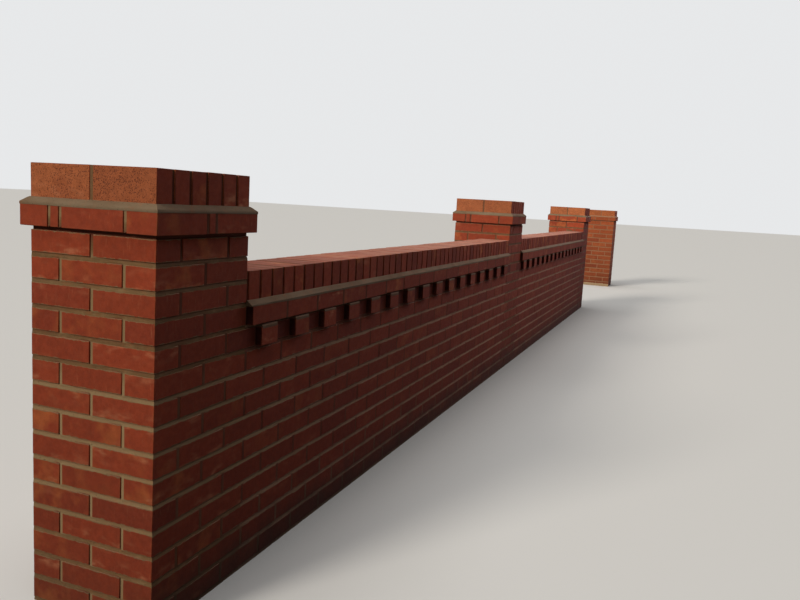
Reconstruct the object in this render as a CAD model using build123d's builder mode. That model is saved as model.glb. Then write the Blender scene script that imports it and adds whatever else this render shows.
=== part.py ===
from build123d import *
import os

# A brick garden wall with brick piers, in millimetres.
# The wall runs along X with its street face towards -Y, and Z is 0 at ground level.
# The origin is at ground level, halfway along, on the centre line of the piers.
# Piers stand at both ends of each panel, and one more stands across the gateway.

# One brick and the mortar joint round it
brick_length = 215
brick_width = 102.5
brick_height = 65
joint = 10

# Layout along the wall
panel_count = 2
panel_bricks = 16  # stretchers in one course of a panel
gateway_width = 3250  # clear between the shafts of the two gate piers

# Heights, counted in courses above the bed at ground level
pier_courses = 15
panel_courses = 10  # plain courses below the dentils

# How far the projecting work stands in front of the plain faces
pier_oversail = 20
string_projection = 20
dentil_projection = 20

# Bricks on edge
cap_bricks_across = 6  # along one side of a pier cap
coping_bricks_each = 3  # over one stretcher of the panel
rake = 3  # depth that the mortar is set back between them

# Mortar weathering, which slopes from the bricks on edge to the arris below
lap = 10  # height that it laps up the bricks on edge
lip = 3  # thickness at its upper edge
toe = 2  # thickness at its outer edge

# Sizes that follow
course = brick_height + joint
pitch = brick_length + joint
pier_size = 2 * brick_length + joint
wall_thickness = brick_length
panel_length = panel_bricks * pitch + joint
bay = pier_size + panel_length
wall_length = panel_count * bay + 2 * pier_size + gateway_width
street_face = -pier_size / 2
garden_face = street_face + wall_thickness
wall_middle = (street_face + garden_face) / 2

# Levels on a pier
oversail_base = joint + pier_courses * course
oversail_top = oversail_base + brick_height
cap_base = oversail_top + joint
cap_top = cap_base + brick_width

# Levels on a panel
dentil_base = joint + panel_courses * course
string_base = dentil_base + course
string_top = string_base + brick_height
coping_base = string_top + joint
coping_top = coping_base + brick_width

os.makedirs("parts", exist_ok=True)


def keep(piece, name):
    """Label one finished piece and write it to its own file."""
    piece.label = name
    export_step(piece, f"parts/{name}.step")


# Pier pieces
def pier_shaft(name, x):
    """The square shaft: its bed at the ground, its courses and the bed on top of them."""
    with BuildPart() as shaft:
        with BuildSketch(Plane(origin=(x, 0, 0))):
            Rectangle(pier_size, pier_size)
        extrude(amount=oversail_base)
    keep(shaft.part, f"{name}_shaft")


def pier_oversailing_course(name, x):
    """The one course that stands proud of the shaft on all four sides."""
    width = pier_size + 2 * pier_oversail
    with BuildPart() as oversailing:
        with BuildSketch(Plane(origin=(x, 0, oversail_base))):
            Rectangle(width, width)
        extrude(amount=brick_height)
    keep(oversailing.part, f"{name}_oversailing_course")


def pier_weathering(name, x):
    """The bed under the cap, with a slope of mortar from the cap to the oversailing arris."""
    outer = pier_size + 2 * pier_oversail
    upper = pier_size + 2 * lip
    with BuildPart() as weathering:
        with BuildSketch(Plane(origin=(x, 0, oversail_top))):
            Rectangle(outer, outer)
        extrude(amount=toe)
        with BuildSketch(Plane(origin=(x, 0, oversail_top + toe))):
            Rectangle(outer, outer)
        with BuildSketch(Plane(origin=(x, 0, cap_base + lap))):
            Rectangle(upper, upper)
        loft()
        with BuildSketch(Plane(origin=(x, 0, cap_base))):
            Rectangle(pier_size, pier_size)
        extrude(amount=lap, mode=Mode.SUBTRACT)
    keep(weathering.part, f"{name}_weathering")


def pier_cap(name, x):
    """Bricks on edge in two rows, and the raked mortar joints between them."""
    height = cap_top - cap_base
    thickness = (pier_size + joint) / cap_bricks_across - joint
    length = (pier_size - joint) / 2
    with BuildPart() as bricks:
        with BuildSketch(Plane(origin=(x, 0, cap_base))):
            with GridLocations(thickness + joint, length + joint, cap_bricks_across, 2):
                Rectangle(thickness, length)
        extrude(amount=height)
    keep(bricks.part, f"{name}_cap_bricks")

    inner = pier_size - 2 * rake
    with BuildPart() as joints:
        with BuildSketch(Plane(origin=(x, 0, cap_base))):
            with GridLocations(thickness + joint, 0, cap_bricks_across - 1, 1):
                Rectangle(joint, inner)
            Rectangle(inner, joint)
        extrude(amount=height - rake)
    keep(joints.part, f"{name}_cap_joints")


# Panel pieces
def panel_wall(name, x):
    """The plain courses between two piers, from the bed at the ground up to the dentils."""
    with BuildPart() as wall:
        with BuildSketch(Plane(origin=(x, wall_middle, 0))):
            Rectangle(panel_length, wall_thickness)
        extrude(amount=dentil_base)
    keep(wall.part, f"{name}_wall")


def panel_dentil_course(name, x):
    """Headers standing proud under the middle of each stretcher, and the course round them."""
    header_middle = street_face - dentil_projection + brick_length / 2
    with BuildPart() as dentils:
        with BuildSketch(Plane(origin=(x, header_middle, dentil_base))):
            with GridLocations(pitch, 0, panel_bricks, 1):
                Rectangle(brick_width, brick_length)
        extrude(amount=brick_height)
    keep(dentils.part, f"{name}_dentils")

    with BuildPart() as backing:
        with BuildSketch(Plane(origin=(x, wall_middle, dentil_base))):
            Rectangle(panel_length, wall_thickness)
        extrude(amount=course)
        add(dentils.part, mode=Mode.SUBTRACT)
    keep(backing.part, f"{name}_dentil_course")


def panel_string_course(name, x):
    """The course of stretchers that the dentils carry, standing proud of the wall."""
    depth = wall_thickness + string_projection
    with BuildPart() as string:
        with BuildSketch(Plane(origin=(x, garden_face - depth / 2, string_base))):
            Rectangle(panel_length, depth)
        extrude(amount=brick_height)
    keep(string.part, f"{name}_string_course")


def panel_weathering(name, x):
    """The bed under the coping, with a slope of mortar in front of it down to the string course."""
    outer = street_face - string_projection
    near_end = Plane(origin=(x - panel_length / 2, 0, 0), x_dir=(0, 1, 0), z_dir=(1, 0, 0))
    with BuildPart() as weathering:
        with BuildSketch(near_end):
            with BuildLine():
                Polyline(
                    (garden_face, string_top),
                    (garden_face, coping_base),
                    (street_face, coping_base),
                    (street_face, coping_base + lap),
                    (street_face - lip, coping_base + lap),
                    (outer, string_top + toe),
                    (outer, string_top),
                    close=True,
                )
            make_face()
        extrude(amount=panel_length)
    keep(weathering.part, f"{name}_weathering")


def panel_coping(name, x):
    """Bricks on edge laid across the wall, and the raked mortar joints between them."""
    height = coping_top - coping_base
    count = coping_bricks_each * panel_bricks
    thickness = (panel_length - joint) / count - joint
    with BuildPart() as bricks:
        with BuildSketch(Plane(origin=(x, wall_middle, coping_base))):
            with GridLocations(thickness + joint, 0, count, 1):
                Rectangle(thickness, wall_thickness)
        extrude(amount=height)
    keep(bricks.part, f"{name}_coping_bricks")

    with BuildPart() as joints:
        with BuildSketch(Plane(origin=(x, wall_middle, coping_base))):
            with GridLocations(thickness + joint, 0, count + 1, 1):
                Rectangle(joint, wall_thickness - 2 * rake)
        extrude(amount=height - rake)
    keep(joints.part, f"{name}_coping_joints")


# The piers: one at each end of every panel, then the far gate pier by itself
first_pier = (pier_size - wall_length) / 2
pier_places = [first_pier + number * bay for number in range(panel_count + 1)]
pier_places.append(-first_pier)
for number, place in enumerate(pier_places, 1):
    pier_shaft(f"pier_{number}", place)
    pier_oversailing_course(f"pier_{number}", place)
    pier_weathering(f"pier_{number}", place)
    pier_cap(f"pier_{number}", place)

# The panels between them
for number in range(1, panel_count + 1):
    place = pier_places[number - 1] + bay / 2
    panel_wall(f"panel_{number}", place)
    panel_dentil_course(f"panel_{number}", place)
    panel_string_course(f"panel_{number}", place)
    panel_weathering(f"panel_{number}", place)
    panel_coping(f"panel_{number}", place)
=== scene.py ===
import math
import random

import bmesh
import bpy
from mathutils import Euler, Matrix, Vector, noise


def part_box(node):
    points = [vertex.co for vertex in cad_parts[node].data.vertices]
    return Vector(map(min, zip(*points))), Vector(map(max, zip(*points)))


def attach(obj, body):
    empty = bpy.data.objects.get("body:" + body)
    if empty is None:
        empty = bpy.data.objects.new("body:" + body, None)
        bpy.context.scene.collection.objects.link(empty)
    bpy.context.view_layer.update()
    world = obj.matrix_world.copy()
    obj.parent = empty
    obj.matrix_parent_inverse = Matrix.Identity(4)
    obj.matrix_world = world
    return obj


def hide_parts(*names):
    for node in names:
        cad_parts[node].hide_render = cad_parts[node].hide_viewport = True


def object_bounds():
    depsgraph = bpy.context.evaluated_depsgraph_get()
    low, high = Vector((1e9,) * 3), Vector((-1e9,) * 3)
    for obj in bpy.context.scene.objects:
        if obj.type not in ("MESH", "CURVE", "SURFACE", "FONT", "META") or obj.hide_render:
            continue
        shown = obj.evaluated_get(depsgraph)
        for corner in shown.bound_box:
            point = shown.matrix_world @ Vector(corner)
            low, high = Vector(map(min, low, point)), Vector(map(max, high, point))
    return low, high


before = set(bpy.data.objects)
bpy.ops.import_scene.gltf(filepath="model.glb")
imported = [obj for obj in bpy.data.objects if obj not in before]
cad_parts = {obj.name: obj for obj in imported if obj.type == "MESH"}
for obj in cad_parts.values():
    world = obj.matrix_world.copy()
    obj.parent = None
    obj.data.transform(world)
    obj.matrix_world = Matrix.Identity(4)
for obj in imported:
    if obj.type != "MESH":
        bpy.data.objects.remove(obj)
cadLow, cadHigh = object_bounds()
print("packed wall loaded")

# One brick as it is laid, in metres
brick = {
    "length": 0.215,
    "width": 0.1025,
    "height": 0.065,
    "closer": 0.030,  # the thin brick that fills out an oversailing course
    "joint": 0.010,
    "arris": 0.0014,  # width of the worn edge
    "shy": 0.0005,  # how far each face stays behind the line it is laid to
    "wander": 0.0005,  # how far a brick is out of place sideways
    "rise": 0.0008,  # and up or down
    "low": 0.0012,  # how much less high it can be
    "lean": 0.0016,  # how far it is turned, in radians
    "wobble": 0.0002,  # unevenness of its arrises
    "chipped": 0.12,  # share of bricks with a chipped corner
    "thirds": (-1 / 6, 1 / 6),  # where a long brick is cut, so that its arrises can wander
    "square": 1.0,  # radians past which an edge is an arris
    "flat": 0.99,  # a face whose normal is this near to an axis is shaded flat
    "chips": ((0.011, 0.005, 0.007), (0.006, 0.008, 0.005), (0.015, 0.004, 0.004)),  # along each arris
}
pitch = brick["length"] + brick["joint"]
gauge = brick["height"] + brick["joint"]
hair, touching, weld = 1e-4, 1e-5, 1e-6  # distances too small to see
faced = 0.9  # a face looks along a way when its normal has more than this of it

# Mortar joints: how far the surface lies behind the brick faces
# a struck joint is deep under the brick above, or beside the one on the left,
# and comes out to the next arris
struck = {"flush": 0.0012, "side": 0.0062, "deep": 0.0066, "hidden": 0.0080, "wander": 0.0004}
shallow = {"flush": 0.0010, "side": 0.0028, "deep": 0.0048, "hidden": 0.0080, "wander": 0.0005}
raked = {"flush": 0.0046, "side": 0.0074, "deep": 0.0074, "hidden": 0.0085, "wander": 0.0008}
filled = {"flush": 0.0012, "side": 0.0024, "deep": 0.0024, "hidden": 0.0060, "wander": 0.0004}
# for the faces that look along X, to the street, along Z and to the garden
wallPointing = (struck, shallow, struck, filled)
dentilPointing = (struck, raked, struck, filled)
edgePointing = (filled, raked, filled, raked)  # between bricks on edge
jointCuts = (-0.0074, -0.0028, 0.0022, 0.0052, 0.0074)  # from the middle of a joint to under the bricks
edgeCuts = (-0.0105, *jointCuts, 0.0105)
joints = {
    "reach": 0.0075,  # how far the hollow goes from the middle of a joint
    "crossing": 0.003,  # a perp ends this near to the middle of a bed
    "clear": 0.0004,  # no cut is nearer to the edge of a block
    "bend": {"side": 3.0, "deep": 2.1},  # how suddenly a joint gets deep towards its far edge
    "paintedCreviceShade": 0.85,  # how dark the painted shadow along that edge is
    "waves": ((45.0, 1.0), (190.0, 0.6)),  # how fine and how strong the unevenness is
    "sharp": 0.9,  # radians past which an edge of mortar looks sharp
    "sunk": 0.001,  # how far mortar goes under what lies on it
    "topBed": 0.004,  # the uppermost bed's points are looked for this far below it
}

colours = {
    "clay": (0.280, 0.0435, 0.0150, 1.0),
    "clayBright": (0.43, 0.112, 0.031, 1.0),
    "clayDark": (0.185, 0.027, 0.012, 1.0),
    "clayPale": (0.58, 0.235, 0.115, 1.0),
    # painted shade: clay of the recessed bricks between the dentils and of the dentils' flanks
    "recessShadeClay": (0.160, 0.0240, 0.0105, 1.0),
    "shadedClay": (0.085, 0.0150, 0.0090, 1.0),
    "bedClay": (0.375, 0.108, 0.038, 1.0),
    "pock": (0.090, 0.022, 0.012, 1.0),
    "mortar": (0.178, 0.091, 0.033, 1.0),
    "mortarPale": (0.330, 0.222, 0.112, 1.0),
    "mortarDark": (0.130, 0.066, 0.030, 1.0),
    "lapMortar": (0.235, 0.145, 0.070, 1.0),
    # painted light: paler mortar of the far gate pier
    "gateMortar": (0.400, 0.175, 0.090, 1.0),
    "panelMortar": (0.335, 0.196, 0.116, 1.0),
    # painted light: paler mortar of the farther panel
    "litFartherMortar": (0.410, 0.205, 0.124, 1.0),
    "trowelled": (0.200, 0.136, 0.079, 1.0),
    "trowelledPale": (0.270, 0.195, 0.125, 1.0),
    # dust, and painted shade in joint crevices and under overhangs
    "dusted": (0.160, 0.043, 0.022, 1.0),
    "swept": (0.42, 0.27, 0.15, 1.0),
    "soil": (0.055, 0.034, 0.022, 1.0),
    "bloom": (0.475, 0.285, 0.215, 1.0),
}


# Node trees
def feed(tree, socket, value):
    if isinstance(value, bpy.types.NodeSocket):
        tree.links.new(value, socket)
    else:
        socket.default_value = value


def put(tree, kind, feeds=None, **settings):
    made = tree.nodes.new(kind)
    for name, value in settings.items():
        setattr(made, name, value)
    for name, value in (feeds or {}).items():
        feed(tree, made.inputs[name], value)
    return made


def maths(tree, operation, *values):
    return put(tree, "ShaderNodeMath", dict(enumerate(values)), operation=operation).outputs[0]


def vectorMaths(tree, operation, *values):
    return put(tree, "ShaderNodeVectorMath", dict(enumerate(values)), operation=operation).outputs[0]


def times(tree, result, *factors):
    for factor in factors:
        result = maths(tree, "MULTIPLY", result, factor)
    return result


def brighten(tree, colour, share):
    return put(tree, "ShaderNodeVectorMath", {0: colour, "Scale": share}, operation="SCALE").outputs[0]


def blendColours(tree, share, first, second):
    made = put(tree, "ShaderNodeMix", data_type="RGBA", clamp_factor=True)
    for name, value in (("Factor_Float", share), ("A_Color", first), ("B_Color", second)):
        feed(tree, next(each for each in made.inputs if each.identifier == name), value)
    return next(each for each in made.outputs if each.identifier == "Result_Color")


# Paints named colours over a finish, one after another
def paint(tree, colour, **coats):
    for name, share in coats.items():
        colour = blendColours(tree, share, colour, colours[name])
    return colour


# A ramp's numbers are where it starts and ends, and its values there
def ramp(tree, value, start, end, low=0.0, high=1.0):
    feeds = {"Value": value, "From Min": start, "From Max": end, "To Min": low, "To Max": high}
    return put(tree, "ShaderNodeMapRange", feeds, interpolation_type="SMOOTHSTEP").outputs[0]


# A noise's numbers are its scale, detail and roughness
def noiseValue(tree, where, scale, detail=3.0, rough=0.55):
    feeds = {"Vector": where, "Scale": scale, "Detail": detail, "Roughness": rough}
    return put(tree, "ShaderNodeTexNoise", feeds).outputs[0]


# Patches are a noise's numbers and then a ramp's
def patches(tree, where, scale, detail, rough, *limits):
    return ramp(tree, noiseValue(tree, where, scale, detail, rough), *limits)


# An offset for a ragged edge: a noise's numbers, and how far the edge goes from side to side
def ragged(tree, where, scale, detail, rough, span):
    return maths(tree, "MULTIPLY_ADD", noiseValue(tree, where, scale, detail, rough), span, -span / 2)


def split(tree, vector):
    return put(tree, "ShaderNodeSeparateXYZ", {0: vector}).outputs


def objectPlace(tree):
    return put(tree, "ShaderNodeTexCoord").outputs["Object"]


def facing(tree):
    return split(tree, put(tree, "ShaderNodeNewGeometry").outputs["Normal"])


def ownFact(tree, name):
    return put(tree, "ShaderNodeAttribute", attribute_name=name).outputs["Vector"]


# How far a point on a brick is from the brick's faces, along X, Y and Z
def gapToFaces(tree):
    inward = vectorMaths(tree, "ABSOLUTE", ownFact(tree, "brickPlace"))
    return split(tree, vectorMaths(tree, "SUBTRACT", ownFact(tree, "brickHalf"), inward))


def newGroup(name, **takes):
    tree = bpy.data.node_groups.new(name, "ShaderNodeTree")
    for title, value in takes.items():
        kind = "NodeSocketColor" if isinstance(value, tuple) else "NodeSocketFloat"
        tree.interface.new_socket(title, in_out="INPUT", socket_type=kind).default_value = value
    return tree, tree.nodes.new("NodeGroupInput").outputs


def finishGroup(tree, **gives):
    for title in gives:
        kind = "NodeSocketColor" if title == "Color" else "NodeSocketFloat"
        tree.interface.new_socket(title, in_out="OUTPUT", socket_type=kind)
    ends = tree.nodes.new("NodeGroupOutput").inputs
    for title, value in gives.items():
        tree.links.new(value, ends[title])
    return tree


def useGroup(tree, group, **feeds):
    return put(tree, "ShaderNodeGroup", feeds, node_tree=group).outputs


# How near a point on a brick is to its arris: 1 on the arris, 0 a little way in
def makeArrisGroup():
    tree, takes = newGroup("arrisWear", Width=0.007)
    gap = gapToFaces(tree)
    lower = maths(tree, "MINIMUM", gap["X"], gap["Y"])
    upper = maths(tree, "MAXIMUM", gap["X"], gap["Y"])
    second = maths(tree, "MAXIMUM", lower, maths(tree, "MINIMUM", upper, gap["Z"]))
    return finishGroup(tree, Mask=ramp(tree, second, 0.0, takes["Width"], 1.0, 0.0))


lapLook = {
    "edge": (48.0, 5.0, 0.68, 0.015),
    "soft": (-0.0004, 0.0006, 1.0, 0.0),
    "upright": (0.75, 0.90, 1.0, 0.0),  # only faces that stand upright have it
}


# Mortar that laps raggedly over the upper and lower arrises of a brick
def makeLapGroup():
    tree, takes = newGroup("lappedMortar", Reach=0.0022)
    uneven = ragged(tree, objectPlace(tree), *lapLook["edge"])
    past = maths(tree, "SUBTRACT", maths(tree, "ADD", gapToFaces(tree)["Z"], uneven), takes["Reach"])
    upright = ramp(tree, maths(tree, "ABSOLUTE", facing(tree)["Z"]), *lapLook["upright"])
    return finishGroup(tree, Mask=times(tree, ramp(tree, past, *lapLook["soft"]), upright))


clayLook = {
    "away": (31.0, 53.0, 17.0),  # takes every brick to its own place in the noise
    "blush": (13.0, 2.0, 0.55, 0.44, 0.72),  # a warm blush in the middle of some bricks
    "blushed": (0.60, 0.95, 0.05, 1.15),  # by warmth
    "fired": (8.0, 3.0, 0.55, 0.45, 0.75, 0.0, 0.26),  # dark fire marks
    "darker": (0.66, 1.0, 0.0, 0.45),  # by tone
    "scuffs": (27.0, 2.0, 0.50, 0.47, 0.76),  # pale scuffs near one long arris
    "scuffStretch": (0.6, 0.6, 1.5),
    "scuffSide": (0.004, -0.024, 0.12, 0.75),
    "scuffed": (0.45, 0.90, 0.10, 0.85),  # by phase
    "marks": (150.0, 3.0, 0.60, 0.60, 0.74),  # short drag marks up the face
    "markStretch": (1.0, 1.0, 0.14),
    "marked": (0.55, 0.20, 0.05, 0.22),  # by warmth
    "mottle": (48.0, 4.0, 0.60, 0.25, 0.75, 0.88, 1.12),
    "specks": (520.0, 2.0, 0.60, 0.30, 0.70, 0.90, 1.10),
    "drag": (95.0, 3.0, 0.60),
}


# Colour of fired clay, different on every brick, and the height of its drag marks
def makeClayGroup():
    look = clayLook
    tree, takes = newGroup(
        "firedClay", Body=colours["clay"], Bright=colours["clayBright"], Dark=colours["clayDark"],
        Blush=0.8, Spread=0.1, Scuffs=1.0,
    )
    own = ownFact(tree, "brickTone")
    tone, warmth, phase = split(tree, own)
    where = vectorMaths(tree, "ADD", objectPlace(tree), vectorMaths(tree, "MULTIPLY", own, look["away"]))
    blush = patches(tree, where, *look["blush"])
    blush = times(tree, blush, ramp(tree, warmth, *look["blushed"]), takes["Blush"])
    fired = maths(tree, "MAXIMUM", patches(tree, where, *look["fired"]), ramp(tree, tone, *look["darker"]))
    colour = blendColours(tree, fired, takes["Body"], takes["Dark"])
    colour = blendColours(tree, blush, colour, takes["Bright"])
    scuffs = patches(tree, vectorMaths(tree, "MULTIPLY", where, look["scuffStretch"]), *look["scuffs"])
    side = ramp(tree, split(tree, ownFact(tree, "brickPlace"))["Z"], *look["scuffSide"])
    scuffs = times(tree, scuffs, side, ramp(tree, phase, *look["scuffed"]), takes["Scuffs"])
    marks = patches(tree, vectorMaths(tree, "MULTIPLY", where, look["markStretch"]), *look["marks"])
    marks = times(tree, marks, ramp(tree, warmth, *look["marked"]), takes["Scuffs"])
    for pale in (scuffs, marks):
        colour = paint(tree, colour, clayPale=pale)
    batch = maths(tree, "MULTIPLY_ADD", maths(tree, "MULTIPLY_ADD", phase, 2.0, -1.0), takes["Spread"], 1.0)
    shade = times(tree, patches(tree, where, *look["mottle"]), patches(tree, where, *look["specks"]), batch)
    drag = noiseValue(tree, where, *look["drag"])
    return finishGroup(tree, Color=brighten(tree, colour, shade), Height=drag)


grainLook = {"fine": (3.0, 0.7), "cells": (0.15, 0.55, 1.0, 0.0), "share": 0.6}


# Sand grains, for brick and mortar alike
def makeGrainGroup():
    tree, takes = newGroup("sandGrain", Scale=900.0)
    here = objectPlace(tree)
    fine = times(tree, noiseValue(tree, here, takes["Scale"], *grainLook["fine"]), grainLook["share"])
    cells = put(tree, "ShaderNodeTexVoronoi", {"Vector": here, "Scale": takes["Scale"]}).outputs["Distance"]
    grains = ramp(tree, cells, *grainLook["cells"])
    height = maths(tree, "ADD", fine, times(tree, grains, 1 - grainLook["share"]))
    return finishGroup(tree, Height=height, Grains=grains)


soilLook = {
    "edge": (9.0, 5.0, 0.62, 0.26),
    "fade": 1.6,  # how soon it gets thin above the ground
    "street": (-0.2, -0.8, 0.25, 1.0),  # most of it is on the street side
}


# Splashed soil near the ground
def makeSoilGroup():
    tree, takes = newGroup("splashedSoil", Top=0.25, Most=0.7)
    here = objectPlace(tree)
    level = maths(tree, "ADD", split(tree, here)["Z"], ragged(tree, here, *soilLook["edge"]))
    low = maths(tree, "POWER", ramp(tree, level, 0.0, takes["Top"], 1.0, 0.0), soilLook["fade"])
    street = ramp(tree, facing(tree)["Y"], *soilLook["street"])
    return finishGroup(tree, Mask=times(tree, low, times(tree, street, takes["Most"])))


hazeLook = {"wide": (7.0, 3.0, 0.6), "close": (70.0, 4.0, 0.65), "share": 0.6}


# Patches where thin mortar was wiped over the face
def makeHazeGroup():
    tree, takes = newGroup("mortarHaze", Least=0.50, Full=0.70)
    here = objectPlace(tree)
    wide = times(tree, noiseValue(tree, here, *hazeLook["wide"]), hazeLook["share"])
    close = times(tree, noiseValue(tree, here, *hazeLook["close"]), 1 - hazeLook["share"])
    both = maths(tree, "ADD", wide, close)
    return finishGroup(tree, Mask=ramp(tree, both, takes["Least"], takes["Full"]))


bloomLook = {"upward": (0.5, 0.9), "cloud": (18.0, 4.0, 0.60, 0.25, 0.70, 0.45, 1.0)}


# Dust and cement bloom that lies on upward faces
def makeBloomGroup():
    tree, takes = newGroup("topBloom", Most=0.5)
    upward = ramp(tree, facing(tree)["Z"], *bloomLook["upward"])
    cloud = patches(tree, objectPlace(tree), *bloomLook["cloud"])
    return finishGroup(tree, Mask=times(tree, upward, cloud, takes["Most"]))


sweptLook = {
    "from": 5.5,  # along X
    "edge": (24.0, 4.0, 0.60, 0.030),
    "top": (0.044, 0.050, 0.92, 0.0),
    "facing": (-0.2, -0.6),
}


# Sand and mortar swept against the near foot of the far gate pier
def makeSweptGroup():
    tree = newGroup("sweptSand")[0]
    here = objectPlace(tree)
    spot = split(tree, here)
    level = maths(tree, "ADD", spot["Z"], ragged(tree, here, *sweptLook["edge"]))
    beyond = maths(tree, "GREATER_THAN", spot["X"], sweptLook["from"])
    near = times(tree, beyond, ramp(tree, facing(tree)["X"], *sweptLook["facing"]))
    return finishGroup(tree, Mask=times(tree, ramp(tree, level, *sweptLook["top"]), near))


arrisWear = makeArrisGroup()
lappedMortar = makeLapGroup()
firedClay = makeClayGroup()
sandGrain = makeGrainGroup()
splashedSoil = makeSoilGroup()
mortarHaze = makeHazeGroup()
topBloom = makeBloomGroup()
sweptSand = makeSweptGroup()


specular = 0.25  # of every finish


def newMaterial(name):
    material = bpy.data.materials.new(name)
    material.use_nodes = True
    tree = material.node_tree
    shader = tree.nodes["Principled BSDF"]
    shader.inputs["Specular IOR Level"].default_value = specular
    return material, tree, shader


# Swept sand comes over every finish; bump is its strength and distance
def finishMaterial(tree, shader, colour, height, bump, roughness):
    colour = paint(tree, colour, swept=useGroup(tree, sweptSand)["Mask"])
    relief = put(tree, "ShaderNodeBump", {"Height": height, "Strength": bump[0], "Distance": bump[1]})
    for name, value in (("Base Color", colour), ("Normal", relief.outputs[0]), ("Roughness", roughness)):
        tree.links.new(value, shader.inputs[name])


pockLook = {
    "scale": 270.0,
    "radius": 0.25,
    "frayed": (420.0, 2.0),
    "fray": 0.5,
    "clusters": (12.0, 3.0, 0.55, 0.32, 0.58, 0.55, 1.0),
    "rim": (0.35, 1.0, 0.0, 0.60),
    "deep": (0.3, 0.8, 0.2, 1.0),
    "pinholes": (520.0, 2.0, 0.55, 0.555, 0.64, 0.0, 0.80),
}


# Pocks and pinholes of a bed face
def pockMask(tree, here):
    cells = put(tree, "ShaderNodeTexVoronoi", {"Vector": here, "Scale": pockLook["scale"]}).outputs
    size = put(tree, "ShaderNodeSeparateColor", {0: cells["Color"]}).outputs[0]
    clusters = patches(tree, here, *pockLook["clusters"])
    reach = maths(tree, "SUBTRACT", cells["Distance"], pockLook["radius"])
    frayed = noiseValue(tree, here, *pockLook["frayed"])
    reach = maths(tree, "MULTIPLY_ADD", frayed, pockLook["fray"], reach)
    inside = maths(tree, "LESS_THAN", reach, times(tree, ramp(tree, size, *pockLook["rim"]), clusters))
    pinholes = times(tree, patches(tree, here, *pockLook["pinholes"]), clusters)
    return maths(tree, "MAXIMUM", times(tree, inside, ramp(tree, size, *pockLook["deep"])), pinholes)


brickLook = {
    "farPierLight": (4.0, 5.0, 0.0, 0.42),  # along X: the far gate pier's brick is brighter, as painted light
    "scuffsAlong": (-4.0, -1.0),  # X, over which the scuffs get fewer
    "farScuffs": 0.35,
    "dustAndLightAlong": (-5.7, -3.5, 0.72, 1.2),  # along X, on upward faces: painted shade near the end pier, painted light farther on
    "darkening": (-0.1, 1.5, 0.70, 1.22),  # up Z: painted shade, the lower courses darker
    "worn": (60.0, 4.0, 0.55, 0.42, 0.66, 0.02, 0.28),
    "wiped": 0.16,  # how much more haze there is on the arrises
    "lapped": 0.85,
    "pocks": 0.72,
    "pockDepth": 1.6,
    "sand": 1100.0,
    "relief": (0.7, 0.35),  # of the drag marks and of the sand
    "bump": (0.55, 0.0011),
    "roughness": (0.2, 0.8, 0.74, 0.92),  # by the drag marks
}


# Facing brick, and the pocked bed faces that show at the ends of the pier caps
def makeBrickMaterial(
    name, body="clay", blush=0.8, spread=0.12, haze=0.02, scuffs=1.0, lap=None, darkArrises=0.0, pocked=False
):
    look = brickLook
    material, tree, shader = newMaterial(name)
    here = objectPlace(tree)
    spot = split(tree, here)
    # painted light: the far gate pier's brick is brighter
    body = paint(tree, colours[body], clayBright=ramp(tree, spot["X"], *look["farPierLight"]))
    scuffs = ramp(tree, spot["X"], *look["scuffsAlong"], scuffs, scuffs * look["farScuffs"])
    clay = useGroup(tree, firedClay, Body=body, Blush=blush, Spread=spread, Scuffs=scuffs)
    colour, drag = clay["Color"], clay["Height"]
    arris = useGroup(tree, arrisWear)["Mask"]
    wiped = useGroup(tree, mortarHaze)["Mask"]
    sand = useGroup(tree, sandGrain, Scale=look["sand"])["Height"]
    height = maths(tree, "MULTIPLY_ADD", drag, look["relief"][0], times(tree, sand, look["relief"][1]))
    if pocked:
        pocks = pockMask(tree, here)
        colour = paint(tree, colour, pock=times(tree, pocks, look["pocks"]))
        height = maths(tree, "SUBTRACT", height, times(tree, pocks, look["pockDepth"]))
    colour = paint(tree, colour, clayBright=times(tree, arris, patches(tree, here, *look["worn"])))
    # darker along the arrises
    if darkArrises:
        colour = paint(tree, colour, pock=times(tree, arris, darkArrises))
    smear = times(tree, wiped, ramp(tree, arris, 0.0, 1.0, haze, haze + look["wiped"]))
    colour = paint(tree, colour, mortar=smear)
    if lap:
        lapped = times(tree, useGroup(tree, lappedMortar)["Mask"], look["lapped"])
        colour = paint(tree, colour, **{lap: lapped})
    # dust on upward faces, less near the end pier as painted shade, more farther on as painted light
    dust = times(tree, useGroup(tree, topBloom)["Mask"], ramp(tree, spot["X"], *look["dustAndLightAlong"]))
    colour = paint(tree, colour, bloom=dust, soil=useGroup(tree, splashedSoil)["Mask"])
    # painted shade: darker towards the ground
    colour = brighten(tree, colour, ramp(tree, spot["Z"], *look["darkening"]))
    finishMaterial(tree, shader, colour, height, look["bump"], ramp(tree, drag, *look["roughness"]))
    return material


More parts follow.
